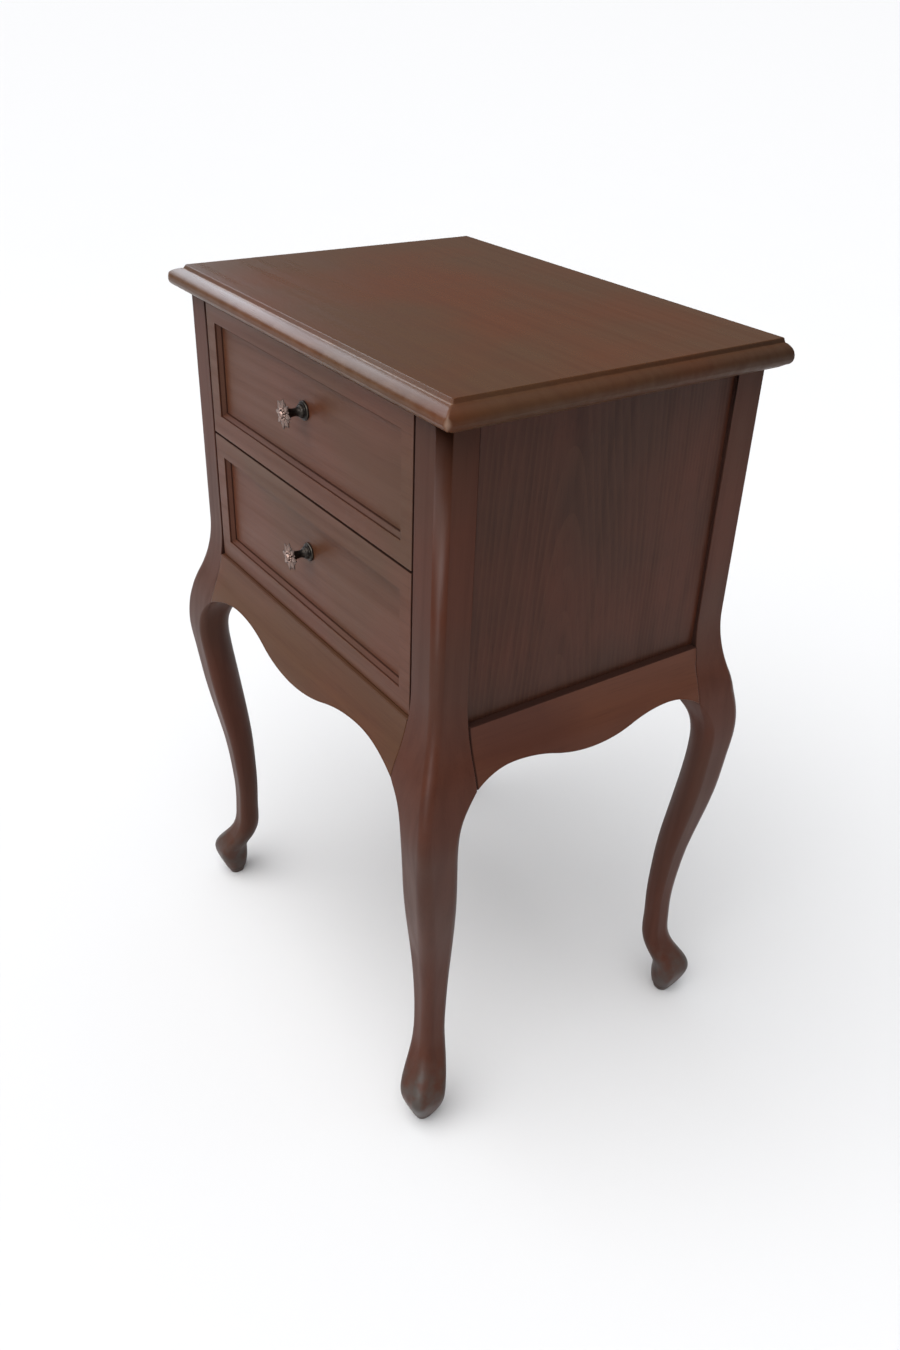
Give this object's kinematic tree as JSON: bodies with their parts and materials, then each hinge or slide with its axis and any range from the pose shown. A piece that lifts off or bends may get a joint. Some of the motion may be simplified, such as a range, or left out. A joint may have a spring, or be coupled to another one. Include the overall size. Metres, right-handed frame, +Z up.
{
  "type": "two-drawer nightstand",
  "caption": "Small wooden nightstand with a moulded top, recessed drawer fronts on knobs, shaped aprons and slender cabriole legs.",
  "frame": {"origin": "on the floor under the middle of the case", "axes": "+X to the right seen from the front, +Y towards the back, +Z up; the drawers open towards -Y"},
  "size_m": [0.4454, 0.3394, 0.68],
  "materials": {
    "stained_wood": "satin",
    "plain_wood": "matte",
    "drawer_wood": "matte",
    "back_board": "matte",
    "dark_bronze": "aged",
    "aged_copper": "aged",
    "screw_steel": "satin"
  },
  "bodies": {
    "carcass": {"leg_front_left": "stained_wood", "leg_front_right": "stained_wood", "leg_rear_left": "stained_wood", "leg_rear_right": "stained_wood", "front_apron": "stained_wood", "side_apron_left": "stained_wood", "side_apron_right": "stained_wood", "side_panel_left": "stained_wood", "side_panel_right": "stained_wood", "top_panel": "stained_wood", "rear_apron": "plain_wood", "top_front_rail": "plain_wood", "top_rear_rail": "plain_wood", "top_cleat_left": "plain_wood", "top_cleat_right": "plain_wood", "drawer_divider_rail": "plain_wood", "bottom_front_rail": "plain_wood", "rear_divider_rail": "plain_wood", "bottom_rear_rail": "plain_wood", "upper_runner_left": "plain_wood", "upper_runner_right": "plain_wood", "lower_runner_left": "plain_wood", "lower_runner_right": "plain_wood", "upper_guide_left": "plain_wood", "upper_guide_right": "plain_wood", "lower_guide_left": "plain_wood", "lower_guide_right": "plain_wood", "drawer_stops": "plain_wood", "corner_blocks": "plain_wood", "back_panel": "back_board", "top_screws": "screw_steel"},
    "upper_drawer": {"upper_drawer_front": "stained_wood", "upper_drawer_side_left": "drawer_wood", "upper_drawer_side_right": "drawer_wood", "upper_drawer_back": "drawer_wood", "upper_drawer_bottom": "back_board", "upper_knob_base": "dark_bronze", "upper_knob_rosette": "aged_copper", "upper_knob_screw": "screw_steel"},
    "lower_drawer": {"lower_drawer_front": "stained_wood", "lower_drawer_side_left": "drawer_wood", "lower_drawer_side_right": "drawer_wood", "lower_drawer_back": "drawer_wood", "lower_drawer_bottom": "back_board", "lower_knob_base": "dark_bronze", "lower_knob_rosette": "aged_copper", "lower_knob_screw": "screw_steel"}
  },
  "joints": [
    {"name": "upper_drawer_slide", "type": "slide", "parent": "carcass", "child": "upper_drawer", "axis": [0, -1, 0], "range_m": [0, 0.18]},
    {"name": "lower_drawer_slide", "type": "slide", "parent": "carcass", "child": "lower_drawer", "axis": [0, -1, 0], "range_m": [0, 0.18]}
  ]
}
